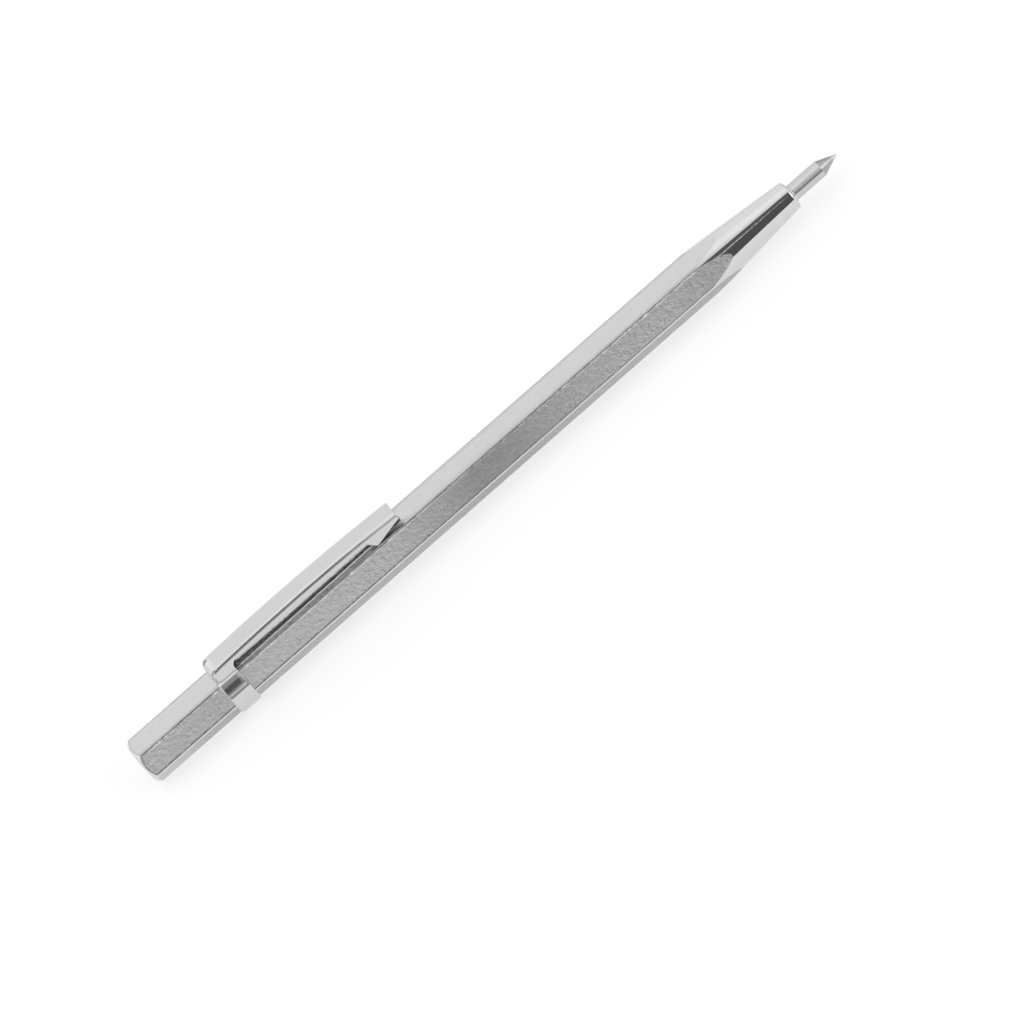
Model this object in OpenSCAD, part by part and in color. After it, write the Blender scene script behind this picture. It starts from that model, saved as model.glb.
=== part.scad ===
// Carbide-tipped pocket scriber: a plated hexagonal barrel with a turned conical
// nose, a round shank pressed into the nose, a carbide pin brazed into the shank,
// and a spring pocket clip held on the barrel by an open ring.
//
// X runs along the barrel towards the point, Z is up. The scriber lies on one flat
// with the clip on top: z = 0 is the flat it lies on, x = 0 is the middle of its length.

/* [Barrel] */
// Overall length, from the domed butt to the sharp end of the point
total_len = 150; // [140:1:160]
// Size of the hexagonal bar across its flats
across_flats = 7.8; // [7.4:0.1:8.2]
// How far the six long edges are broken back at the corners
edge_break = 0.045; // [0.03:0.005:0.08]
// Radius at which the butt's 45 degree chamfer ends and its shallow dome begins
dome_r = 3.65; // [3.2:0.05:3.7]
// Height of the shallow dome on the butt
dome_rise = 0.22; // [0.1:0.01:0.4]

/* [Nose] */
// Radius of the nose at its front face, measured to the cone's own line
nose_r = 2.62; // [2.4:0.02:2.8]
// Half angle of the turned nose cone
nose_angle = 5.26; // [4.5:0.02:6]
// Rounding of the nose's front edge
nose_round = 0.45; // [0.2:0.05:0.6]
// Length of the small lip that the shank's shoulder seats on
lip_len = 0.3; // [0.2:0.05:0.5]
// How far the lip stands out past the shank
lip_proud = 0.24; // [0.16:0.02:0.3]

/* [Scribing point] */
// Diameter of the round shank in front of the nose
shank_d = 3.0; // [2.8:0.1:3.1]
// Diameter of the shank's turned-down tang, which is pressed into the nose
seat_d = 2.6; // [2.4:0.1:2.6]
// Length of shank and point in front of the nose face
point_reach = 9.88; // [8:0.02:12]
// Half angle of the ground cone
point_angle = 22.4; // [18:0.2:26]
// Depth of the blind hole that holds the tang, from the nose face
socket_depth = 14; // [10:0.5:20]
// Diameter of the carbide pin
pin_d = 1.0; // [0.8:0.1:1.2]
// Length of the carbide pin, from its buried end to the sharp end
pin_len = 5.2; // [4.6:0.1:6]

/* [Clip] */
// Sheet thickness of the clip
sheet = 0.24; // [0.2:0.01:0.28]
// Radial clearance between the ring and the broken edges of the barrel
ring_clearance = 0.02; // [0.015:0.005:0.05]
// Distance from the butt to the rear edge of the ring
ring_from_butt = 18.05; // [15:0.05:22]
// Width of the ring along the barrel
ring_w = 4.05; // [3.6:0.05:4.6]
// Half of the ring's open angle, opposite the strap
ring_gap_half = 36; // [36:1:60]
// Width of the strap where it leaves the ring
strap_w_rear = 4.3; // [3.8:0.05:4.4]
// Width of the strap at its free end
strap_w_front = 4.02; // [3.6:0.02:4.2]
// Length of the strap in front of the ring
strap_len = 35.7; // [32:0.1:40]
// Height of the strap's crown above the flat of the barrel
crown_h = 3.52; // [3.2:0.02:3.8]
// Radius of the strap's long bow
bow_r = 330; // [280:5:500]
// Distance from the ring's front edge to the crown
crown_at = 13.1; // [11:0.1:15]
// Radius that closes the strap's rear end down to the barrel
stern_r = 2.2; // [2:0.05:2.3]
// Height of the lower edge of the strap's side flanges above the flat, at the crown
flange_h = 2.4; // [2:0.05:2.5]
// Radius of the long bow of that lower edge
flange_bow_r = 430; // [330:10:700]
// Step down from the strap's top to the closed rear end
stern_step = 0.12; // [0.05:0.01:0.2]
// Rounding of the closed rear end's corners, seen from above
stern_corner_r = 1.2; // [0.6:0.05:1.6]
// Length of the open window under the strap, from the ring to the foot
window_len = 28.9; // [26:0.1:30]
// Rounding of the window's rear corner
window_r = 1.3; // [0.8:0.05:1.5]
// Length over which the flange comes down to the foot
foot_drop = 1.3; // [0.8:0.1:2]
// Length of the foot that bears on the barrel
foot_len = 0.35; // [0.2:0.05:0.8]
// Height of the flange's lower edge above the flat at the strap's free end
tip_h = 1.62; // [1.2:0.02:1.8]
// Gap left between the foot and the flat of the barrel
foot_gap = 0.02; // [0.01:0.01:0.05]

/* [Hidden] */
$fn = 128;

axis_z = across_flats / 2;                       // height of the barrel's axis
flat_z = across_flats;                           // the flat that the clip stands on
corner_r = across_flats / sqrt(3) - edge_break;  // radius over the broken edges
butt_x = -total_len / 2;
tip_x = total_len / 2;
nose_x = tip_x - point_reach;                    // front face of the nose
chamfer_x = butt_x + dome_rise + corner_r - dome_r;
cone_x = nose_x - (corner_r - nose_r) / tan(nose_angle);
dome_sphere = (dome_r * dome_r + dome_rise * dome_rise) / (2 * dome_rise);
round_r = nose_r + tan(nose_angle) * nose_round - nose_round / cos(nose_angle);
shank_r = shank_d / 2;
seat_r = seat_d / 2;
grind_x = tip_x - shank_r / tan(point_angle);    // where the ground cone begins
pin_r = pin_d / 2;
pin_grind_x = tip_x - pin_r / tan(point_angle);
ring_in = corner_r + ring_clearance;
ring_out = ring_in + sheet;
ring_x0 = butt_x + ring_from_butt;
ring_x1 = ring_x0 + ring_w;
strap_x1 = ring_x1 + strap_len;
crown_x = ring_x1 + crown_at;
bow_z = flat_z + crown_h - bow_r;                // centre height of the bow's circle
stern_x = ring_x0 - 0.08 + stern_r;
stern_z = bow_z + sqrt(bow_r * bow_r - pow(stern_x - crown_x, 2)) - stern_r - stern_step;
flange_cz = flat_z + flange_h - flange_bow_r;     // centre height of the flange edge's circle
window_x = ring_x1 + window_r;
window_z = flange_cz + sqrt(flange_bow_r * flange_bow_r - pow(window_x - crown_x, 2));
foot_x0 = ring_x1 + window_len;
foot_x1 = foot_x0 + foot_drop;
foot_x2 = foot_x1 + foot_len;

// A profile drawn as (radius, x), turned about the barrel's axis
module turned() {
    translate([0, 0, axis_z]) rotate([0, 90, 0]) rotate_extrude() children();
}

// A section drawn as (y, z), drawn out along x from x0 to x1
module drawn(x0, x1) {
    translate([x0, 0, 0]) rotate([90, 0, 90]) linear_extrude(x1 - x0) children();
}

// A side outline drawn as (x, z), with its thickness across y
module across(w) {
    rotate([90, 0, 0]) linear_extrude(w, center = true) children();
}

// The outline that the lathe leaves: chamfer and dome behind, cone and lip in front
module lathe_profile() {
    polygon([
        [0, butt_x + dome_rise], [dome_r, butt_x + dome_rise], [corner_r, chamfer_x],
        [corner_r, cone_x],
        [round_r + nose_round * cos(nose_angle), nose_x - nose_round + nose_round * sin(nose_angle)],
        [round_r, nose_x - nose_round], [round_r, nose_x],
        [shank_r + lip_proud, nose_x], [shank_r + lip_proud, nose_x + lip_len * 0.45],
        [shank_r + lip_proud * 0.65, nose_x + lip_len], [0, nose_x + lip_len]
    ]);
    translate([round_r, nose_x - nose_round]) circle(r = nose_round);
    intersection() {
        translate([0, butt_x + dome_sphere]) circle(r = dome_sphere, $fn = 240);
        translate([0, butt_x - 1]) square([dome_r, 1 + dome_rise + 0.05]);
    }
}

module hex_barrel() {
    color("silver") difference() {
        intersection() {
            turned() lathe_profile();
            drawn(butt_x - 1, tip_x)
                translate([0, axis_z]) circle(r = across_flats / sqrt(3), $fn = 6);
        }
        // blind hole for the tang, with the drill's 118 degree bottom
        translate([nose_x - socket_depth, 0, axis_z]) rotate([0, 90, 0])
            cylinder(r = seat_r, h = socket_depth + lip_len + 1);
        translate([nose_x - socket_depth, 0, axis_z]) rotate([0, -90, 0])
            cylinder(r1 = seat_r, r2 = 0, h = seat_r / tan(59));
    }
}

module point_shank() {
    color("gray") difference() {
        turned() polygon([
            [0, nose_x - socket_depth + 0.2], [seat_r - 0.3, nose_x - socket_depth + 0.2],
            [seat_r, nose_x - socket_depth + 0.5], [seat_r, nose_x + lip_len],
            [shank_r, nose_x + lip_len], [shank_r, grind_x],
            [pin_r, pin_grind_x], [0, pin_grind_x]
        ]);
        // seat of the carbide pin
        translate([tip_x - pin_len, 0, axis_z]) rotate([0, 90, 0])
            cylinder(r = pin_r, h = pin_len);
    }
}

module carbide_point() {
    color("dimgray") turned() polygon([
        [0, tip_x - pin_len], [pin_r, tip_x - pin_len], [pin_r, pin_grind_x], [0, tip_x]
    ]);
}

// Everything under the strap's bowed top surface, lowered by drop
module under_bow(drop) {
    translate([crown_x, bow_z]) circle(r = bow_r - drop, $fn = 1440);
}

// Side outline of the clip's root, from its closed rear end to the front of the ring
module root_outline(inset) {
    low = flat_z + 0.05 - (inset > 0 ? 1 : 0);
    front = ring_x1 + (inset > 0 ? 1 : 0);
    intersection() {
        under_bow(inset);
        translate([ring_x0 - 1, low]) square([front - ring_x0 + 1, 6]);
        union() {
            translate([stern_x, stern_z]) circle(r = stern_r - inset, $fn = 96);
            translate([stern_x, low]) square([front - stern_x, 6]);
            translate([stern_x - stern_r + inset, low]) square([stern_r, stern_z - low]);
        }
    }
}

// Plan outline of the root, with its rear corners rounded
module root_plan(inset) {
    w = strap_w_rear / 2 - inset;
    r = stern_corner_r - inset;
    x0 = stern_x - stern_r + inset;
    for (side = [-1, 1]) translate([x0 + r, side * (w - r)]) circle(r = r, $fn = 64);
    translate([x0, -(w - r)]) square([r + 1, 2 * (w - r)]);
    translate([x0 + r, -w]) square([ring_x1 + 2 - x0 - r, 2 * w]);
}

// Side outline of one arm of the ring, narrowing in a long curve towards its end
module arm_outline() {
    r = 7.8;
    intersection() {
        translate([ring_x0, 0]) square([ring_w, 2 * axis_z + 2]);
        translate([ring_x0 + r, axis_z - 0.8]) union() {
            circle(r = r, $fn = 240);
            translate([-r, 0]) square([2 * r, 10]);
        }
        translate([ring_x1 - r, axis_z - 0.8]) union() {
            circle(r = r, $fn = 240);
            translate([-r, 0]) square([2 * r, 10]);
        }
    }
}

module clip_ring() {
    wall_y = strap_w_rear / 2;
    color("gainsboro") {
        // the two arms: an open ring round the barrel, cut away between the root's walls
        intersection() {
            drawn(ring_x0, ring_x1) translate([0, axis_z]) difference() {
                circle(r = ring_out);
                circle(r = ring_in);
                polygon([[0, 0], [-10 * sin(ring_gap_half), -10 * cos(ring_gap_half)],
                         [10 * sin(ring_gap_half), -10 * cos(ring_gap_half)]]);
                translate([-(wall_y - sheet / 2), 0]) square([strap_w_rear - sheet, 10]);
            }
            across(20) arm_outline();
        }
        // the root: a box section open underneath, with its rear end rounded down
        difference() {
            intersection() {
                across(strap_w_rear + 1) root_outline(0);
                translate([0, 0, flat_z - 1]) linear_extrude(8) root_plan(0);
            }
            intersection() {
                across(strap_w_rear + 1) root_outline(sheet);
                translate([0, 0, flat_z - 2]) linear_extrude(10) root_plan(sheet);
            }
        }
    }
}

// Plan outline of the strap, narrower by inset on each side
module strap_plan(inset, over) {
    polygon([
        [ring_x1 - over, -strap_w_rear / 2 + inset], [strap_x1 + over, -strap_w_front / 2 + inset],
        [strap_x1 + over, strap_w_front / 2 - inset], [ring_x1 - over, strap_w_rear / 2 - inset]
    ]);
}

// Side outline of the window under the strap: a rounded rear corner and a bowed upper edge
module window_outline() {
    intersection() {
        translate([crown_x, flange_cz]) circle(r = flange_bow_r, $fn = 1440);
        union() {
            translate([window_x, window_z - window_r + 0.04]) circle(r = window_r, $fn = 64);
            translate([ring_x1, flat_z - 2]) square([window_r + 0.1, window_z - window_r - flat_z + 2.04]);
            polygon([
                [window_x, flat_z - 2], [foot_x1, flat_z - 2], [foot_x1, flat_z + foot_gap],
                [foot_x1 - 0.15, flat_z + foot_gap + 0.2], [foot_x0, flat_z + flange_h - 0.35],
                [foot_x0 - 0.35, flat_z + flange_h - 0.1], [foot_x0 - 0.8, flat_z + flange_h + 1],
                [window_x, flat_z + flange_h + 1]
            ]);
        }
    }
}

// Side outline of the strap, its flanges and its foot
module strap_side() {
    difference() {
        intersection() {
            under_bow(0);
            polygon([
                [ring_x1, flat_z + foot_gap], [foot_x2, flat_z + foot_gap],
                [strap_x1, flat_z + tip_h], [strap_x1, flat_z + 8], [ring_x1, flat_z + 8]
            ]);
        }
        window_outline();
    }
}

module clip_strap() {
    color("gainsboro") difference() {
        intersection() {
            across(strap_w_rear + 2) strap_side();
            translate([0, 0, flat_z - 1]) linear_extrude(8) strap_plan(0, 0);
        }
        intersection() {
            across(strap_w_rear + 2) intersection() {
                under_bow(sheet);
                translate([ring_x1 - 2, flat_z - 1]) square([strap_len + 4, 8]);
            }
            translate([0, 0, flat_z - 2]) linear_extrude(10) strap_plan(sheet, 2);
        }
    }
}

hex_barrel();
point_shank();
carbide_point();
clip_ring();
clip_strap();
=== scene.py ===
"""The scriber's looks: a detailed barrel, shank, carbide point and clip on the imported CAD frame,
with procedural metal finishes, a white table, a soft studio and the product camera."""

import math

import bpy
import numpy as np
from mathutils import Matrix, Vector


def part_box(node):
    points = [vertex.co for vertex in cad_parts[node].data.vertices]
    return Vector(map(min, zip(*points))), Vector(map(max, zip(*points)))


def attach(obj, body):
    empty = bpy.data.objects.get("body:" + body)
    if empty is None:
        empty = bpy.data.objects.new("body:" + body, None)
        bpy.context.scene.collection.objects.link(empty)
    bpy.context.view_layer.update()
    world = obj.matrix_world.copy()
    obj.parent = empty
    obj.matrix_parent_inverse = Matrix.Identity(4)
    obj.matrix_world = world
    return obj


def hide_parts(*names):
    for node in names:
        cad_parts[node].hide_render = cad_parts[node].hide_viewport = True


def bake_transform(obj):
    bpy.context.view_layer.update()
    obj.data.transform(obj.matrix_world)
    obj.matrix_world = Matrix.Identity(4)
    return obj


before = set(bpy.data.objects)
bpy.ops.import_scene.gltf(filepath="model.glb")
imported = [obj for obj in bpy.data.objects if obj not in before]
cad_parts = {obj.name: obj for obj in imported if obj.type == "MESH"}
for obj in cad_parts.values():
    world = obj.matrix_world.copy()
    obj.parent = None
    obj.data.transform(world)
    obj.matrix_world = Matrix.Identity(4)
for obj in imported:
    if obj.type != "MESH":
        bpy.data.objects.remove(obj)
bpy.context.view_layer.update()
MM = 0.001
scene = bpy.context.scene

# ---------------------------------------------------------------- sizes, in mm, from the frame
b_lo, b_hi = (np.array(v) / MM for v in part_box("hex_barrel"))
s_lo, s_hi = (np.array(v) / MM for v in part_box("point_shank"))
p_lo, p_hi = (np.array(v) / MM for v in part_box("carbide_point"))
r_lo, r_hi = (np.array(v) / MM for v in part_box("clip_ring"))
t_lo, t_hi = (np.array(v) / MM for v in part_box("clip_strap"))
A = b_hi[2] / 2                  # half of the size across the flats
AXIS = A                         # height of the barrel's axis
FLAT = 2 * A
TIP = p_hi[0]
BUTT = b_lo[0]
NOSE = TIP - 9.88
LIP = b_hi[0] - NOSE
NOSE_R, NOSE_DEG, NOSE_ROUND = 2.62, 5.26, 0.45
EDGE_R = 0.29                    # rounding of the six long edges
SHANK_R, SEAT_R, PIN_R = 1.5, 1.3, 0.5
POINT_DEG = 22.4
SOCKET = 14.0


# ---------------------------------------------------------------- mesh helpers
def grid_mesh(name, rows, closed_start=True, closed_end=True):
    """A closed lathe-like skin. rows is a list of (n, 3) arrays in mm; each row is one loop round X."""
    n = len(rows[0])
    verts = np.concatenate(rows)
    faces, count = [], len(rows)
    for i in range(count - 1):
        a, b = i * n, (i + 1) * n
        for j in range(n):
            k = (j + 1) % n
            faces.append((a + j, b + j, b + k, a + k))
    verts = list(map(tuple, verts * MM))
    if closed_start:
        c = rows[0].mean(0) * MM
        verts.append(tuple(c))
        m = len(verts) - 1
        faces += [(m, j, (j + 1) % n) for j in range(n)]
    if closed_end:
        c = rows[-1].mean(0) * MM
        verts.append(tuple(c))
        m = len(verts) - 1
        base = (count - 1) * n
        faces += [(m, base + (j + 1) % n, base + j) for j in range(n)]
    mesh = bpy.data.meshes.new(name)
    mesh.from_pydata(verts, [], faces)
    mesh.validate()
    mesh.polygons.foreach_set("use_smooth", [True] * len(mesh.polygons))
    mesh.update()
    obj = bpy.data.objects.new(name, mesh)
    scene.collection.objects.link(obj)
    return obj


def ring(x, r, phi):
    """One loop: x and r may vary round the loop. phi runs from +Z towards -Y."""
    x = np.broadcast_to(x, phi.shape)
    r = np.broadcast_to(r, phi.shape)
    return np.stack([x, -r * np.sin(phi), AXIS + r * np.cos(phi)], 1)


# ---------------------------------------------------------------- barrel
def hex_columns():
    """Angles round the barrel and the barrel's radius there, with a wear weight: 1 on the rounded edges."""
    half = (A - EDGE_R) * math.tan(math.radians(30))
    offs = [-half, -half + 0.03, -half + 0.14, -half + 0.32, -1.35, -1.0, -0.65, -0.3,
            0.0, 0.3, 0.65, 1.0, 1.35, half - 0.32, half - 0.14, half - 0.03]
    phi, rad, worn = [], [], []
    c0 = (A - EDGE_R) / math.cos(math.radians(30))
    start = math.atan2(half, A)
    for k in range(6):
        base = math.radians(60 * k)
        for o in offs:
            phi.append(base + math.atan2(o, A))
            rad.append(math.hypot(o, A))
            worn.append(max(0.0, 1 - (half - abs(o)) / 0.32))
        for i in range(0, 9):
            q = math.radians(30) - start
            psi = -q + 2 * q * i / 9.0
            phi.append(base + math.radians(30) + psi)
            rad.append(c0 * math.cos(psi) + math.sqrt(max(EDGE_R ** 2 - (c0 * math.sin(psi)) ** 2, 0)))
            worn.append(1.0)
    return np.array(phi), np.array(rad), np.array(worn)


def build_barrel():
    phi, h, worn = hex_columns()
    rows, wear, turned = [], [], []

    def add(x, r, w=None, is_turned=True):
        rows.append(ring(x, r, phi))
        wear.append(np.zeros_like(phi) if w is None else w)
        turned.append(is_turned)

    dome_r, dome_rise = 3.65, 0.22
    sphere = (dome_r ** 2 + dome_rise ** 2) / (2 * dome_rise)
    for r in (0.12, 0.4, 0.8, 1.2, 1.6, 2.0, 2.4, 2.8, 3.1, 3.35, 3.52, 3.6):
        add(BUTT + sphere - math.sqrt(sphere ** 2 - r ** 2), r)
    add(BUTT + dome_rise + 0.015, dome_r + 0.01)
    add(BUTT + dome_rise + 0.06, dome_r + 0.055)
    x_c = BUTT + dome_rise + (h - dome_r)
    for f in (0.25, 0.5, 0.75):
        add(BUTT + dome_rise + 0.06 + (x_c - 0.04 - BUTT - dome_rise - 0.06) * f,
            dome_r + 0.055 + (h - 0.045 - dome_r - 0.055) * f)
    add(x_c - 0.045, h - 0.05)
    add(x_c + 0.0, h - 0.012, worn, True)
    add(x_c + 0.045, h, np.maximum(worn, 1.0), False)
    add(x_c + 0.2, h, np.maximum(worn, 0.3), False)
    x_b = NOSE - (h - NOSE_R) / math.tan(math.radians(NOSE_DEG))
    first, last = x_c + 0.4, x_b - 0.05
    for f in np.linspace(0, 1, 64):
        add(first + (last - first) * f, h, worn, False)
    add(x_b + 0.0, h - 0.0006, worn, False)
    tan = math.tan(math.radians(NOSE_DEG))
    turn = NOSE - NOSE_ROUND + NOSE_ROUND * math.sin(math.radians(NOSE_DEG))
    lo = x_b + 0.05
    for f in np.linspace(0, 1, 34):
        x = lo + (turn - lo) * f
        add(x, NOSE_R + (NOSE - x) * tan)
    round_r = NOSE_R + tan * NOSE_ROUND - NOSE_ROUND / math.cos(math.radians(NOSE_DEG))
    for a in np.linspace(math.radians(NOSE_DEG), math.pi / 2, 9)[1:]:
        add(NOSE - NOSE_ROUND + NOSE_ROUND * math.sin(a), round_r + NOSE_ROUND * math.cos(a))
    lip_r = SHANK_R + 0.24
    add(NOSE, round_r - 0.06)
    add(NOSE, lip_r + 0.12)
    add(NOSE + 0.01, lip_r + 0.03)
    add(NOSE + 0.03, lip_r + 0.005)
    add(NOSE + 0.06, lip_r)
    add(NOSE + LIP * 0.45, lip_r)
    add(NOSE + LIP * 0.62, lip_r - 0.012)
    add(NOSE + LIP * 0.9, lip_r - 0.06)
    add(NOSE + LIP, lip_r - 0.1)
    add(NOSE + LIP, SHANK_R + 0.03)
    add(NOSE + LIP, SEAT_R + 0.02)
    add(NOSE + LIP - 0.02, SEAT_R)
    add(NOSE + LIP - 0.1, SEAT_R)
    add(NOSE - SOCKET + 0.02, SEAT_R)
    add(NOSE - SOCKET - 0.02, SEAT_R - 0.03)
    add(NOSE - SOCKET - SEAT_R / math.tan(math.radians(59)) * 0.97, SEAT_R * 0.03)
    obj = grid_mesh("barrel_body", rows)
    mesh = obj.data
    n = len(phi)
    att = mesh.attributes.new("worn", "FLOAT", "POINT")
    vals = np.zeros(len(mesh.vertices), np.float32)
    vals[: n * len(rows)] = np.concatenate(wear)
    att.data.foreach_set("value", vals)
    # slot 0 holds the drawn flats, slot 1 everything that was turned on the lathe
    index = np.zeros(len(mesh.polygons), np.int32)
    for i in range(len(rows) - 1):
        lathe = turned[i] or turned[i + 1]
        index[i * n: (i + 1) * n] = 1 if lathe else 0
    index[(len(rows) - 1) * n:] = 1
    mesh.polygons.foreach_set("material_index", index)
    return obj


# ---------------------------------------------------------------- shank and carbide point
def build_lathe(name, profile, columns=128):
    phi = np.linspace(0, 2 * np.pi, columns, endpoint=False)
    return grid_mesh(name, [ring(x, r, phi) for x, r in profile])


GRIND = TIP - SHANK_R / math.tan(math.radians(POINT_DEG))   # where the ground cone begins


def build_shank():
    grind = GRIND
    pin_x = TIP - PIN_R / math.tan(math.radians(POINT_DEG))
    back, front = s_lo[0], NOSE + LIP
    profile = [(back, 0.4), (back, SEAT_R - 0.32), (back + 0.02, SEAT_R - 0.29),
               (back + 0.28, SEAT_R - 0.02), (back + 0.32, SEAT_R), (front - 0.1, SEAT_R),
               (front - 0.01, SEAT_R), (front, SEAT_R + 0.01), (front, SHANK_R - 0.05),
               (front + 0.012, SHANK_R - 0.015), (front + 0.05, SHANK_R)]
    for f in np.linspace(0.02, 0.985, 26):
        profile.append((front + (grind - front) * f, SHANK_R))
    profile += [(grind - 0.012, SHANK_R), (grind + 0.012, SHANK_R - 0.006)]
    for f in np.linspace(0.03, 0.985, 22):
        x = grind + (pin_x - grind) * f
        profile.append((x, (TIP - x) * math.tan(math.radians(POINT_DEG))))
    # the pin's seat, seen only from the front as a hairline
    profile += [(pin_x, PIN_R), (pin_x - 0.01, PIN_R - 0.0005),
                (p_lo[0] + 0.02, PIN_R - 0.0005), (p_lo[0], PIN_R - 0.02), (p_lo[0], 0.05)]
    return build_lathe("point_shank_body", profile)


def build_pin():
    pin_x = TIP - PIN_R / math.tan(math.radians(POINT_DEG))
    x0 = p_lo[0]
    profile = [(x0 + 0.001, 0.1), (x0 + 0.001, PIN_R - 0.04), (x0 + 0.03, PIN_R - 0.003),
               (pin_x - 0.03, PIN_R - 0.002), (pin_x, PIN_R - 0.001)]
    for f in np.linspace(0.04, 0.93, 14):
        x = pin_x + (TIP - pin_x) * f
        profile.append((x, (TIP - x) * math.tan(math.radians(POINT_DEG))))
    profile += [(TIP - 0.05, 0.021), (TIP - 0.02, 0.0125), (TIP - 0.004, 0.005)]
    return build_lathe("carbide_pin", profile, 96)


# ---------------------------------------------------------------- clip
# The clip is one sheet: its surface is the zero level of the function clip_field. A voxel skin of the
# CAD clip gives the first mesh, and each vertex is then moved on to that surface.
SHEET = 0.24
RX0, RX1 = r_hi[0] - 4.05, r_hi[0]
SX1 = t_hi[0]
REAR = r_lo[0]
RING_IN, RING_OUT = r_hi[1] - SHEET, r_hi[1]
CROWN = RX1 + 13.1
BOW_R = 330.0
BOW_Z = FLAT + 3.515 - BOW_R
FLANGE_R = 340.0
FLANGE_Z = FLAT + 2.3 - FLANGE_R
FOLD = 0.84                      # radius of the long folds


def cap(a, b, r):
    """Both a and b, with their common edge rounded to r."""
    return np.minimum(-r, np.maximum(a, b)) + np.hypot(np.maximum(a + r, 0), np.maximum(b + r, 0))


def join(a, b, r):
    """Either a or b, with a fillet of r in the corner between them."""
    return np.maximum(r, np.minimum(a, b)) - np.hypot(np.maximum(r - a, 0), np.maximum(r - b, 0))


def step(x, lo, hi):
    t = np.clip((x - lo) / (hi - lo), 0, 1)
    return t * t * (3 - 2 * t)


def soften(points, rounds):
    pts = [np.array(p, float) for p in points]
    for _ in range(rounds):
        new = [pts[0]]
        for a, b in zip(pts, pts[1:]):
            new += [a * 0.75 + b * 0.25, a * 0.25 + b * 0.75]
        pts = new + [pts[-1]]
    return pts


def rim_z(x):
    """Height of the flanges' lower edge."""
    return FLANGE_Z + math.sqrt(FLANGE_R ** 2 - (x - CROWN) ** 2)


def lower_outline():
    """Side view (x, z) of everything below the sheet: the window under the strap, and the foot."""
    wx = RX1 + 1.3
    wz = FLANGE_Z + math.sqrt(FLANGE_R ** 2 - (wx - CROWN) ** 2)
    pts = [(-70, FLAT + 0.05), (RX1, FLAT + 0.05), (RX1, wz - 1.26)]
    for a in np.linspace(172, 92, 10):
        pts.append((wx + 1.3 * math.cos(math.radians(a)), wz - 1.26 + 1.3 * math.sin(math.radians(a))))
    fx = RX1 + 28.9
    for x in np.linspace(wx + 0.6, fx - 1.5, 16):
        pts.append((x, rim_z(x)))
    foot = [(fx - 1.0, rim_z(fx - 1.0)), (fx - 0.45, rim_z(fx) - 0.1), (fx + 0.05, FLAT + 1.6),
            (fx + 0.5, FLAT + 0.85), (fx + 1.0, FLAT + 0.16), (fx + 1.3, FLAT - 0.02),
            (fx + 1.62, FLAT - 0.02), (fx + 1.95, FLAT + 0.12), (SX1 - 3.3, FLAT + 0.63),
            (SX1 - 1.67, FLAT + 1.12), (SX1, FLAT + 1.55), (SX1 + 2, FLAT + 2.05)]
    pts += [tuple(p) for p in soften(foot, 2)]
    return np.array(pts)


LOWER = lower_outline()


def below(x, z):
    """Distance to the lower outline, positive below it."""
    a, b = LOWER[:-1], LOWER[1:]
    best = np.full(x.shape, 1e9)
    inside = np.zeros(x.shape, bool)
    for (ax, az), (bx, bz) in zip(a, b):
        ex, ez = bx - ax, bz - az
        t = np.clip(((x - ax) * ex + (z - az) * ez) / (ex * ex + ez * ez), 0, 1)
        d = (x - ax - t * ex) ** 2 + (z - az - t * ez) ** 2
        best = np.minimum(best, d)
        if abs(ex) > 1e-9:
            hit = ((ax <= x) != (bx <= x)) & (z > az + (x - ax) * ez / ex)
            inside ^= hit
    d = np.sqrt(best)
    return np.where(inside, -d, d)


def clip_field(p, inner=False):
    x, y, z = p[:, 0], p[:, 1], p[:, 2]
    # the U-shaped root and strap, as a solid
    top = np.hypot(x - CROWN, z - BOW_Z) - BOW_R
    top = top + 0.07 * (1 - step(x, REAR + 1.5, REAR + 1.95))
    width = 2.15 - 0.14 * np.clip((x - RX1) / (SX1 - RX1), 0, 1)
    solid = cap(top, np.abs(y) - width, FOLD)
    corner = 1.15 + 0.95 * (1 - step(np.abs(y), 0.9, 1.75)) * step(z, FLAT + 1.0, FLAT + 2.4)
    solid = cap(solid, REAR - x, corner)
    hollow = -(solid + SHEET)
    low = below(x, z)
    end = x - SX1
    outline = cap(low, end, 0.25)
    shell = np.maximum(cap(solid, outline, 0.08), cap(hollow, outline, 0.05))
    # the open ring
    h = z - AXIS
    r = np.hypot(y, h)
    if inner:  # is the point on the inside of the sheet?
        return np.where(z > FLAT + 0.02, solid < 0.03 - SHEET, r < RING_IN + 0.03)
    drop = np.minimum(h + 0.8, 0)
    e0 = np.hypot(x - RX0 - 7.8, drop) - 7.8
    e1 = np.hypot(x - RX1 + 7.8, drop) - 7.8
    outer = RING_OUT - 0.042 * np.maximum(0, 1 + e1 / 0.85) ** 1.12 - 0.07 * np.maximum(0, 1 + e0 / 0.42) ** 1.25
    c, s = math.cos(math.radians(36)), math.sin(math.radians(36))
    gap = -np.abs(y) * c - h * s
    side = cap(np.maximum(e0, e1), gap, 0.7)
    band = np.maximum(cap(r - outer, side, 0.06), cap(RING_IN - r, side, 0.04))
    band = np.maximum(band, hollow)
    return join(shell, band, 0.03)


def field_normal(p, h=0.004):
    g = np.empty_like(p)
    for i in range(3):
        d = np.zeros(3)
        d[i] = h
        g[:, i] = (clip_field(p + d) - clip_field(p - d)) / (2 * h)
    return g


def settle(p, rounds):
    for _ in range(rounds):
        f = clip_field(p)
        g = field_normal(p)
        n2 = np.maximum((g ** 2).sum(1), 0.05)
        move = (f / n2)[:, None] * g
        size = np.linalg.norm(move, axis=1, keepdims=True)
        p = p - move * np.minimum(1, 0.12 / np.maximum(size, 1e-9))
    return p


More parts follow.
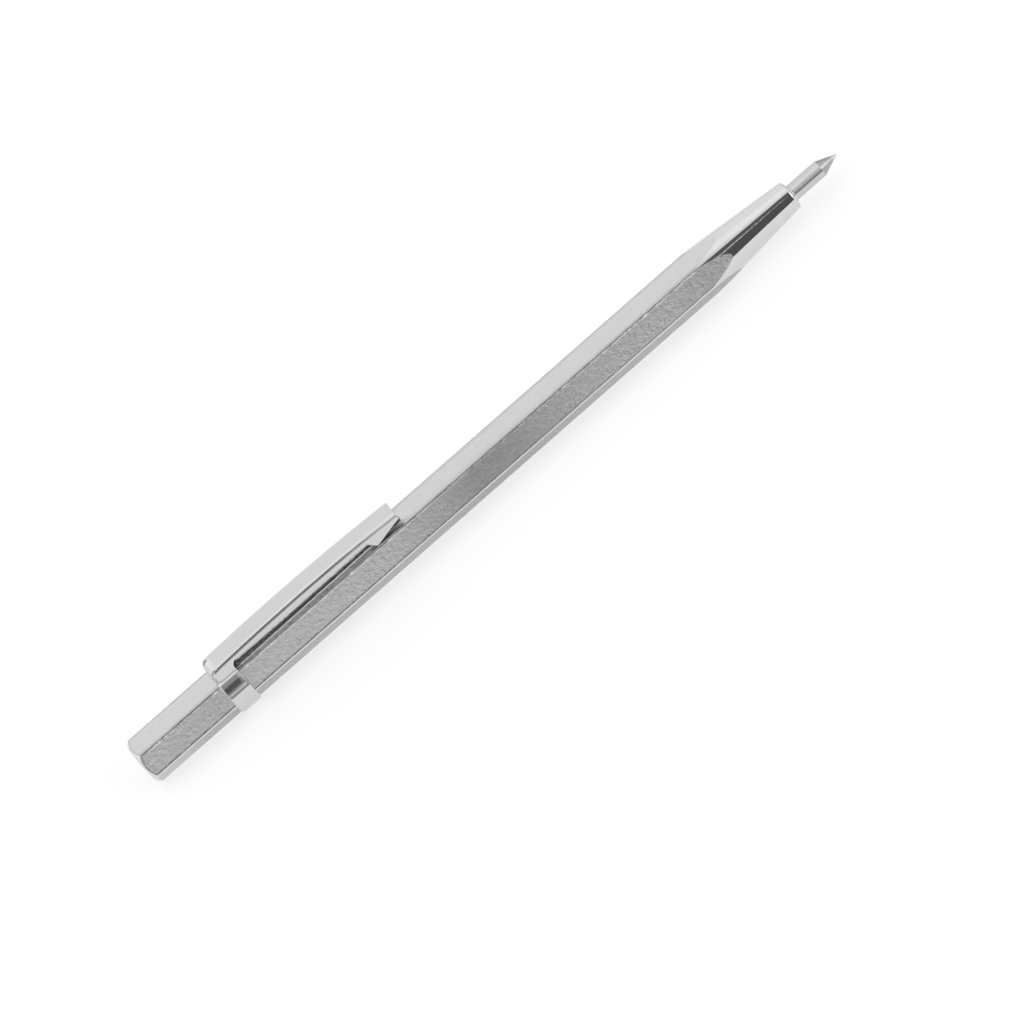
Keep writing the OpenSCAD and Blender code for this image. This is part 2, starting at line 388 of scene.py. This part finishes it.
def build_clip(voxel=0.1):
    verts, faces, base = [], [], 0
    for name in ("clip_ring", "clip_strap"):
        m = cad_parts[name].data
        co = np.array([v.co for v in m.vertices]) / MM
        if name == "clip_strap":  # overlap the two CAD solids a little, so that the skin is one
            co[co[:, 0] < RX1 + 0.01, 0] -= 0.15
        verts.append(co)
        faces += [tuple(base + i for i in f.vertices) for f in m.polygons]
        base += len(co)
    mesh = bpy.data.meshes.new("clip_skin")
    mesh.from_pydata(list(map(tuple, np.concatenate(verts))), [], faces)
    obj = bpy.data.objects.new("clip_skin", mesh)
    scene.collection.objects.link(obj)
    mod = obj.modifiers.new("skin", "REMESH")
    mod.mode = "VOXEL"
    mod.voxel_size = voxel
    mod.adaptivity = 0
    bpy.context.view_layer.update()
    made = bpy.data.meshes.new_from_object(obj.evaluated_get(bpy.context.evaluated_depsgraph_get()))
    bpy.data.objects.remove(obj)
    p = np.array([v.co for v in made.vertices], float)
    edges = np.array([e.vertices for e in made.edges], int)
    count = np.bincount(edges.ravel(), minlength=len(p)).astype(float)
    p = settle(p, 5)
    for _ in range(7):
        mean = np.zeros_like(p)
        for k in range(3):
            mean[:, k] = (np.bincount(edges[:, 0], p[edges[:, 1], k], len(p))
                          + np.bincount(edges[:, 1], p[edges[:, 0], k], len(p))) / np.maximum(count, 1)
        d = (mean - p) * 0.5
        g = field_normal(p)
        g /= np.maximum(np.linalg.norm(g, axis=1, keepdims=True), 1e-9)
        p = p + d - g * (d * g).sum(1, keepdims=True)
        p = settle(p, 1)
    p = settle(p, 2)
    made.vertices.foreach_set("co", (p * MM).ravel())
    made.polygons.foreach_set("use_smooth", [True] * len(made.polygons))
    made.update()
    made.name = "pocket_clip"
    # slot 1 is the inside of the sheet, which gets a dark painted-shade material
    middle = np.zeros(len(made.polygons) * 3)
    made.polygons.foreach_get("center", middle)
    middle = middle.reshape(-1, 3) / MM
    made.polygons.foreach_set("material_index", clip_field(middle, True).astype(np.int32))
    clip = bpy.data.objects.new("pocket_clip", made)
    scene.collection.objects.link(clip)
    off = np.abs(clip_field(p))
    print("clip skin:", len(p), "vertices, farthest from its surface", round(float(off.max()), 4), "mm;",
          int((off > 0.01).sum()), "over 0.01")
    return clip


# ---------------------------------------------------------------- node helpers
class Tree:
    """Short hand for building a node tree."""

    def __init__(self, tree):
        self.t = tree

    def node(self, kind, **inputs):
        n = self.t.nodes.new(kind)
        for k, v in inputs.items():
            self.put(n.inputs[k.replace("_", " ")], v)
        return n

    def put(self, socket, v):
        if isinstance(v, bpy.types.NodeSocket):
            self.t.links.new(v, socket)
        else:
            socket.default_value = v

    def math(self, op, a, b=0.0, c=None, clamp=False):
        n = self.t.nodes.new("ShaderNodeMath")
        n.operation = op
        n.use_clamp = clamp
        self.put(n.inputs[0], a)
        self.put(n.inputs[1], b)
        if c is not None:
            self.put(n.inputs[2], c)
        return n.outputs[0]

    def span(self, v, a, b, c=0.0, d=1.0, smooth=False):
        n = self.t.nodes.new("ShaderNodeMapRange")
        n.interpolation_type = "SMOOTHSTEP" if smooth else "LINEAR"
        for i, x in enumerate((v, a, b, c, d)):
            self.put(n.inputs[i], x)
        return n.outputs[0]

    def mix(self, f, a, b):
        """A number between a and b."""
        n = self.t.nodes.new("ShaderNodeMix")
        n.data_type = "FLOAT"
        self.put(n.inputs[0], f)
        self.put(n.inputs[2], a)
        self.put(n.inputs[3], b)
        return n.outputs[0]

    def tint(self, f, a, b):
        """A colour between a and b."""
        n = self.t.nodes.new("ShaderNodeMix")
        n.data_type = "RGBA"
        self.put(n.inputs[0], f)
        self.put(n.inputs[6], a)
        self.put(n.inputs[7], b)
        return n.outputs[2]

    def noise(self, vector, scale, detail=2.0, rough=0.5):
        n = self.t.nodes.new("ShaderNodeTexNoise")
        self.put(n.inputs["Vector"], vector)
        n.inputs["Scale"].default_value = scale
        n.inputs["Detail"].default_value = detail
        n.inputs["Roughness"].default_value = rough
        return n.outputs[0]

    def stretch(self, vector, scale, place=(0, 0, 0)):
        n = self.t.nodes.new("ShaderNodeMapping")
        self.put(n.inputs["Vector"], vector)
        n.inputs["Location"].default_value = place
        n.inputs["Scale"].default_value = scale
        return n.outputs[0]

    def ramp(self, fac, stops):
        n = self.t.nodes.new("ShaderNodeValToRGB")
        e = n.color_ramp.elements
        while len(e) > 1:
            e.remove(e[-1])
        e[0].position = stops[0][0]
        e[0].color = (*[stops[0][1]] * 3, 1)
        for pos, v in stops[1:]:
            k = e.new(pos)
            k.color = (v, v, v, 1)
        self.put(n.inputs[0], fac)
        return n.outputs[0]


def metal(name):
    mat = bpy.data.materials.new(name)
    mat.use_nodes = True
    t = Tree(mat.node_tree)
    bsdf = mat.node_tree.nodes["Principled BSDF"]
    bsdf.inputs["Metallic"].default_value = 1.0
    place = t.node("ShaderNodeTexCoord").outputs["Object"]
    return mat, t, bsdf, place


def bump(t, height, strength, distance, normal=None):
    n = t.t.nodes.new("ShaderNodeBump")
    n.inputs["Strength"].default_value = strength
    n.inputs["Distance"].default_value = distance
    t.put(n.inputs["Height"], height)
    if normal is not None:
        t.put(n.inputs["Normal"], normal)
    return n.outputs[0]


def satin_flats():
    """Drawn bar under plating: a fine sandy satin, polished along the rounded edges."""
    mat, t, bsdf, place = metal("satin_plating")
    worn = t.t.nodes.new("ShaderNodeAttribute")
    worn.attribute_name = "worn"
    worn = worn.outputs["Fac"]
    grain = t.noise(place, 3600, 3, 0.62)
    coarse = t.noise(place, 1500, 2, 0.5)
    cloud = t.noise(t.stretch(place, (0.45, 1, 1)), 95, 3, 0.55)
    drawn = t.noise(t.stretch(place, (0.03, 1, 1)), 5200, 2, 0.5)
    x = t.node("ShaderNodeSeparateXYZ", Vector=place).outputs[0]
    # the satin is a little rougher in bands along the bar, most near its middle; further down, the same bands are
    # painted as shade into the colour of the upper front flat
    along = t.ramp(t.span(x, -0.075, 0.075), [
        (0.0, 0.2), (0.083, 0.3), (0.104, 0.42), (0.16, 0.15), (0.353, 0.1), (0.43, 0.6), (0.48, 1.0),
        (0.525, 0.95), (0.60, 0.5), (0.68, 0.2), (0.741, 0.1), (0.81, 0.35), (1.0, 0.35)])
    rough = t.math("MULTIPLY_ADD", along, 0.14, 0.19)
    rough = t.math("ADD", rough, t.math("MULTIPLY_ADD", cloud, 0.10, -0.05))
    rough = t.math("ADD", rough, t.math("MULTIPLY_ADD", coarse, 0.12, -0.06))
    nick = t.noise(t.stretch(place, (0.6, 1, 1)), 900, 2, 0.5)
    edge = t.math("MULTIPLY", worn, t.span(nick, 0.3, 0.62, 0.55, 1.0))
    y, z = t.node("ShaderNodeSeparateXYZ", Vector=place).outputs[1:3]
    # the flat under the clip is protected and has kept its shine
    off = t.math("ADD", t.math("ABSOLUTE", y), t.span(x, RX1 * MM, (RX1 + 27) * MM, 0.0, 0.45 * MM))
    shelter = t.math("MULTIPLY", t.span(z, (FLAT - 0.06) * MM, (FLAT - 0.02) * MM),
                     t.span(off, 1.45 * MM, 1.8 * MM, 1.0, 0.0, True))
    shelter = t.math("SUBTRACT", 1.0, shelter)
    # the cloth that the clip holds has dulled both sides of it
    cloth = t.math("MULTIPLY", t.span(z, (FLAT - 0.06) * MM, (FLAT - 0.02) * MM, 0.0, 0.22),
                   t.span(off, 1.45 * MM, 1.8 * MM, 0.0, 1.0, True))
    rough = t.math("ADD", rough, cloth)
    rough = t.math("MULTIPLY", rough, t.math("MULTIPLY_ADD", shelter, 0.45, 0.55))
    t.put(bsdf.inputs["Roughness"], t.mix(edge, rough, 0.11))
    shade = t.math("ADD", t.math("MULTIPLY", cloud, 0.2), t.math("MULTIPLY", grain, 0.35))
    shade = t.math("ADD", shade, t.math("MULTIPLY", coarse, 0.45))
    # the lower front flat is painted darker, as painted shade, and the upper front flat above it lighter, as
    # painted light, for how each faces the lamps; the painted shade weakens towards the butt
    down = t.math("MULTIPLY_ADD", z, 0.5, -AXIS * MM / 2)
    side = t.math("MULTIPLY", y, -math.sqrt(0.75))
    painted_shade_flat = t.math("MULTIPLY", t.span(t.math("SUBTRACT", side, down), 3.80 * MM, 3.88 * MM),
                  t.span(x, -0.072, -0.062, 0.35, 1.0, True))
    painted_light_flat = t.span(t.math("ADD", side, down), 3.80 * MM, 3.88 * MM)
    body = t.tint(shade, (0.565, 0.565, 0.578, 1), (0.69, 0.69, 0.702, 1))
    body = t.tint(painted_shade_flat, body, t.tint(shade, (0.33, 0.33, 0.338, 1), (0.45, 0.45, 0.459, 1)))
    # the bands of along are painted as shade into the upper front flat's colour, on top of its painted light
    painted_shade_bands = t.math("MULTIPLY_ADD", along, -0.6, 1.34)
    painted_light_tone = t.math("MULTIPLY", painted_shade_bands, t.math("MULTIPLY_ADD", shade, 0.26, 0.58))
    painted_light_tone = t.math("MINIMUM", painted_light_tone, 0.93)
    body = t.tint(painted_light_flat, body, t.node("ShaderNodeCombineColor", Red=painted_light_tone, Green=painted_light_tone,
                                      Blue=t.math("MULTIPLY", painted_light_tone, 1.015)).outputs[0])
    # the rounded edges, polished by wear, get a colour painted by height: darker above the axis, as painted
    # shade, lighter at and below it, as painted highlight
    edge_wear_and_painted_light = t.tint(t.span(z, AXIS * MM, (AXIS + 1) * MM), (0.74, 0.74, 0.745, 1), (0.42, 0.42, 0.425, 1))
    t.put(bsdf.inputs["Base Color"], t.tint(edge, body, edge_wear_and_painted_light))
    height = t.math("ADD", t.math("MULTIPLY", grain, 0.7), t.math("MULTIPLY", coarse, 1.3))
    height = t.math("ADD", height, t.math("MULTIPLY", drawn, 0.05))
    height = t.math("MULTIPLY", height, t.math("MULTIPLY_ADD", worn, -0.75, 1.0))
    height = t.math("MULTIPLY", height, t.math("MULTIPLY_ADD", shelter, 0.85, 0.15))
    t.put(bsdf.inputs["Normal"], bump(t, height, 1.0, 0.00005))
    return mat


def turned_chrome():
    """Bright plating over a turned surface, with the faint rings of the tool."""
    mat, t, bsdf, place = metal("turned_plating")
    rings = t.noise(t.stretch(place, (1, 0.02, 0.02)), 9000, 2, 0.6)
    swell = t.noise(t.stretch(place, (1, 0.10, 0.10)), 620, 2, 0.5)
    spots = t.noise(place, 1700, 2, 0.5)
    rough = t.math("ADD", t.math("MULTIPLY_ADD", rings, 0.05, 0.03),
                   t.math("MULTIPLY_ADD", spots, 0.05, -0.01))
    t.put(bsdf.inputs["Roughness"], rough)
    t.put(bsdf.inputs["Base Color"], t.tint(swell, (0.64, 0.64, 0.647, 1), (0.71, 0.71, 0.715, 1)))
    height = t.math("ADD", t.math("MULTIPLY", swell, 1.0), t.math("MULTIPLY", rings, 0.12))
    height = t.math("ADD", height, t.math("MULTIPLY", spots, 0.16))
    t.put(bsdf.inputs["Normal"], bump(t, height, 0.5, 0.00002))
    return mat


def clip_chrome():
    """Bright plating over rolled sheet: nearly a mirror, with hairlines and a faint ripple."""
    mat, t, bsdf, place = metal("clip_plating")
    hair = t.noise(t.stretch(place, (0.035, 1, 1)), 6500, 2, 0.6)
    ripple = t.noise(t.stretch(place, (0.5, 1, 1)), 420, 2, 0.5)
    smear = t.noise(place, 160, 3, 0.6)
    rough = t.math("ADD", t.math("MULTIPLY_ADD", hair, 0.08, 0.05),
                   t.math("MULTIPLY_ADD", smear, 0.10, -0.03))
    t.put(bsdf.inputs["Roughness"], rough)
    t.put(bsdf.inputs["Base Color"], t.tint(smear, (0.61, 0.61, 0.618, 1), (0.66, 0.66, 0.668, 1)))
    height = t.math("ADD", t.math("MULTIPLY", ripple, 0.8), t.math("MULTIPLY", hair, 0.04))
    t.put(bsdf.inputs["Normal"], bump(t, height, 0.35, 0.00002))
    return mat


def clip_inside_painted_shade():
    """The inside of the clip: a darker metal than the outside, painted shade standing in for the shade inside the
    folded sheet.
    """
    mat, t, bsdf, place = metal("clip_inside_painted_shade")
    hair = t.noise(t.stretch(place, (0.06, 1, 1)), 4200, 2, 0.6)
    blot = t.noise(place, 700, 3, 0.6)
    t.put(bsdf.inputs["Roughness"], t.math("MULTIPLY_ADD", blot, 0.08, 0.04))
    t.put(bsdf.inputs["Base Color"], t.tint(blot, (0.20, 0.20, 0.205, 1), (0.30, 0.30, 0.307, 1)))
    t.put(bsdf.inputs["Normal"], bump(t, hair, 0.4, 0.00001))
    return mat


def ground_steel():
    """Centreless-ground steel rod with a ground cone."""
    mat, t, bsdf, place = metal("ground_steel")
    rings = t.noise(t.stretch(place, (1, 0.025, 0.025)), 7000, 3, 0.65)
    blot = t.noise(place, 900, 3, 0.55)
    rough = t.math("ADD", t.math("MULTIPLY_ADD", rings, 0.12, 0.08),
                   t.math("MULTIPLY_ADD", blot, 0.08, -0.02))
    t.put(bsdf.inputs["Roughness"], rough)
    shade = t.math("ADD", t.math("MULTIPLY", rings, 0.6), t.math("MULTIPLY", blot, 0.4))
    # the cone is fresh from the wheel and darker than the polished rod
    x = t.node("ShaderNodeSeparateXYZ", Vector=place).outputs[0]
    wheel = t.span(x, GRIND * MM - 0.00002, GRIND * MM + 0.00002)
    t.put(bsdf.inputs["Base Color"], t.tint(wheel, t.tint(shade, (0.50, 0.50, 0.505, 1), (0.66, 0.66, 0.662, 1)),
                                            t.tint(shade, (0.32, 0.32, 0.325, 1), (0.50, 0.50, 0.502, 1))))
    t.put(bsdf.inputs["Normal"], bump(t, rings, 0.45, 0.000008))
    return mat


def carbide():
    """Ground tungsten carbide: a darker, harder grey with very fine marks."""
    mat, t, bsdf, place = metal("ground_carbide")
    rings = t.noise(t.stretch(place, (1, 0.03, 0.03)), 12000, 2, 0.6)
    blot = t.noise(place, 2600, 2, 0.5)
    t.put(bsdf.inputs["Roughness"], t.math("MULTIPLY_ADD", rings, 0.14, 0.16))
    t.put(bsdf.inputs["Base Color"], t.tint(blot, (0.46, 0.46, 0.47, 1), (0.60, 0.60, 0.61, 1)))
    t.put(bsdf.inputs["Normal"], bump(t, rings, 0.4, 0.000005))
    return mat


# ---------------------------------------------------------------- the pieces
barrel = build_barrel()
for m in (satin_flats(), turned_chrome()):
    barrel.data.materials.append(m)
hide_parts("hex_barrel")
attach(barrel, "barrel")

shank = build_shank()
shank.data.materials.append(ground_steel())
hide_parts("point_shank")
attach(shank, "barrel")

pin = build_pin()
pin.data.materials.append(carbide())
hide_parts("carbide_point")
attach(pin, "barrel")

clip = build_clip()
clip.data.materials.append(clip_chrome())
# the inside of the sheet is painted dark, as painted shade
clip.data.materials.append(clip_inside_painted_shade())
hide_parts("clip_ring", "clip_strap")
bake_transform(clip)


# ---------------------------------------------------------------- stage: table, soft room, lamp, camera
def table():
    n, size = 24, 3.0
    verts, faces = [], []
    for i in range(n + 1):
        for j in range(n + 1):
            verts.append((-size + 2 * size * i / n, -size + 2 * size * j / n, -0.00002))
    for i in range(n):
        for j in range(n):
            a = i * (n + 1) + j
            faces.append((a, a + n + 1, a + n + 2, a + 1))
    mesh = bpy.data.meshes.new("table")
    mesh.from_pydata(verts, [], faces)
    obj = bpy.data.objects.new("table", mesh)
    scene.collection.objects.link(obj)
    mat = bpy.data.materials.new("white_table")
    mat.use_nodes = True
    bsdf = mat.node_tree.nodes["Principled BSDF"]
    bsdf.inputs["Base Color"].default_value = (0.32, 0.32, 0.32, 1)
    bsdf.inputs["Roughness"].default_value = 0.9
    bsdf.inputs["Specular IOR Level"].default_value = 0.0
    bsdf.inputs["Emission Color"].default_value = (1, 1, 1, 1)
    bsdf.inputs["Emission Strength"].default_value = 0.7
    mesh.materials.append(mat)
    return obj


table()


def room():
    """A white room with large soft panels all round, and a dark opening in front, where a photographer works."""
    world = bpy.data.worlds.new("studio")
    scene.world = world
    world.use_nodes = True
    t = Tree(world.node_tree)
    d = t.node("ShaderNodeSeparateXYZ", Vector=t.node("ShaderNodeTexCoord").outputs["Generated"])
    x, y, z = d.outputs
    # height seen along the barrel, so that the panels run straight from left to right
    rise = t.math("DIVIDE", z, t.math("SQRT", t.math("MAXIMUM", t.math("MULTIPLY_ADD", t.math("MULTIPLY", x, x), -1.0, 1.0), 0.01)))
    front = t.math("MULTIPLY", t.span(t.math("ABSOLUTE", x), 0.36, 0.48, 1.0, 0.0, True),
                   t.span(t.math("MULTIPLY", y, -1.0), 0.0, 0.1, 0.0, 1.0, True))
    front = t.math("MULTIPLY", front, t.span(z, -0.03, 0.0, 0.0, 1.0))
    # the opening, from the table's horizon up: a lit wall behind the camera, then dark, then a grey ceiling
    wall = t.ramp(rise, [
        (0.0, 0.1), (0.06, 0.3), (0.12, 0.45), (0.17, 0.85), (0.21, 1.0), (0.28, 1.0), (0.33, 0.6), (0.40, 0.3),
        (0.47, 0.1), (0.52, 0.0)])
    across = t.ramp(t.span(x, -0.2, 0.3), [
        (0.0, 0.5), (0.24, 0.62), (0.265, 0.5), (0.30, 0.60), (0.345, 0.75), (0.375, 0.6), (0.392, 0.40),
        (0.405, 0.38), (0.43, 0.60), (0.455, 1.0), (0.485, 1.0), (0.51, 0.6), (0.535, 0.10), (0.72, 0.03),
        (0.84, 0.0), (1.0, 0.0)])
    ceiling = t.math("MULTIPLY", t.span(rise, 0.762, 0.785, 0.0, 1.0, True),
                     t.span(x, 0.12, 0.2, 0.26, 0.02, True))
    top = t.span(rise, 0.932, 0.952, 0.0, 0.8, True)
    dark = t.math("ADD", t.math("MULTIPLY", wall, across), t.span(x, 0.03, 0.08, 0.12, 0.10, True))
    dark = t.math("ADD", dark, t.math("ADD", ceiling, top))
    # a narrow upright softbox beside the camera, and the edge of its reflector
    strip = t.math("MULTIPLY", t.span(x, 0.050, 0.062, 0.0, 1.0, True), t.span(x, 0.16, 0.185, 1.0, 0.0, True))
    strip = t.math("MULTIPLY", strip, t.math("MULTIPLY", t.span(rise, 0.38, 0.48, 0.0, 1.0, True),
                                             t.span(rise, 0.91, 0.95, 1.0, 0.0, True)))
    rim = t.math("MULTIPLY", t.span(x, 0.17, 0.20, 0.0, 0.9, True), t.span(x, 0.235, 0.25, 1.0, 0.0, True))
    rim = t.math("MULTIPLY", rim, t.math("MULTIPLY", t.span(rise, 0.71, 0.735, 0.0, 1.0, True),
                                         t.span(rise, 0.775, 0.80, 1.0, 0.0, True)))
    dark = t.math("ADD", dark, t.math("MULTIPLY_ADD", strip, 0.85, rim))
    # a large soft lamp to the right of the camera
    key = t.math("MULTIPLY", t.span(x, 0.42, 0.52, 0.0, 1.0, True), t.span(x, 0.72, 0.82, 1.0, 0.0, True))
    key = t.math("MULTIPLY", key, t.math("MULTIPLY", t.span(z, 0.18, 0.32, 0.0, 1.0, True),
                                         t.span(z, 0.60, 0.75, 1.0, 0.0, True)))
    key = t.math("MULTIPLY", key, t.span(t.math("MULTIPLY", y, -1.0), 0.15, 0.3, 0.0, 1.3, True))
    white = t.math("ADD", 1.02, t.span(t.math("MULTIPLY", x, -1.0), 0.25, 0.8, 0.0, 0.25, True))
    white = t.math("ADD", white, key)
    # grey cards to the front left and the back right, which shape the metal in views from the ends
    low = t.math("MULTIPLY", t.span(z, 0.06, 0.14, 0.0, 1.0, True), t.span(z, 0.40, 0.55, 1.0, 0.0, True))
    left = t.math("MULTIPLY", t.span(x, -0.50, -0.42, 1.0, 0.0, True), t.span(y, -0.3, -0.15, 0.5, 0.0, True))
    right = t.math("MULTIPLY", t.span(x, 0.42, 0.50, 0.0, 1.0, True), t.span(y, 0.15, 0.3, 0.0, 0.5, True))
    white = t.math("SUBTRACT", white, t.math("MULTIPLY", low, t.math("ADD", left, right)))
    white = t.math("SUBTRACT", white, t.span(z, 0.0, 0.3, 0.2, 0.0, True))
    value = t.mix(front, white, dark)
    back = world.node_tree.nodes["Background"]
    t.put(back.inputs["Strength"], value)
    back.inputs["Color"].default_value = (1, 1, 1, 1)


room()

lamp = bpy.data.lights.new("overhead_softbox", "AREA")
lamp.shape = "RECTANGLE"
lamp.size, lamp.size_y = 1.8, 1.2
lamp.energy = 0.8
lamp_ob = bpy.data.objects.new("overhead_softbox", lamp)
lamp_ob.location = (0, 0.35, 1.9)
lamp_ob.visible_camera = False
scene.collection.objects.link(lamp_ob)


def camera():
    """The product shot's camera: 46 degrees above the table, rolled so that the scriber lies across the frame."""
    el, roll = math.radians(46.25), math.radians(41.28)
    k = 150 / 926 * MM
    b = Vector((0, -math.cos(el), math.sin(el)))
    up = Vector((0, math.sin(el), math.cos(el)))
    right = Vector((1, 0, 0))
    r = math.cos(roll) * right - math.sin(roll) * up
    w = math.sin(roll) * right + math.cos(roll) * up
    cam = bpy.data.cameras.new("camera")
    cam.lens, cam.sensor_width = 200, 36
    cam.clip_start, cam.clip_end = 0.01, 10
    obj = bpy.data.objects.new("camera", cam)
    scene.collection.objects.link(obj)
    aim = Vector(((438.9 + 6.5) * k - 0.075, 0, AXIS * MM)) - up * (54.9 * k)
    m = Matrix((r, w, b)).transposed().to_4x4()
    m.translation = aim + b * (1024 * k * 200 / 36)
    obj.matrix_world = m
    scene.camera = obj


camera()
scene.view_settings.view_transform = "Standard"
scene.view_settings.look = "None"
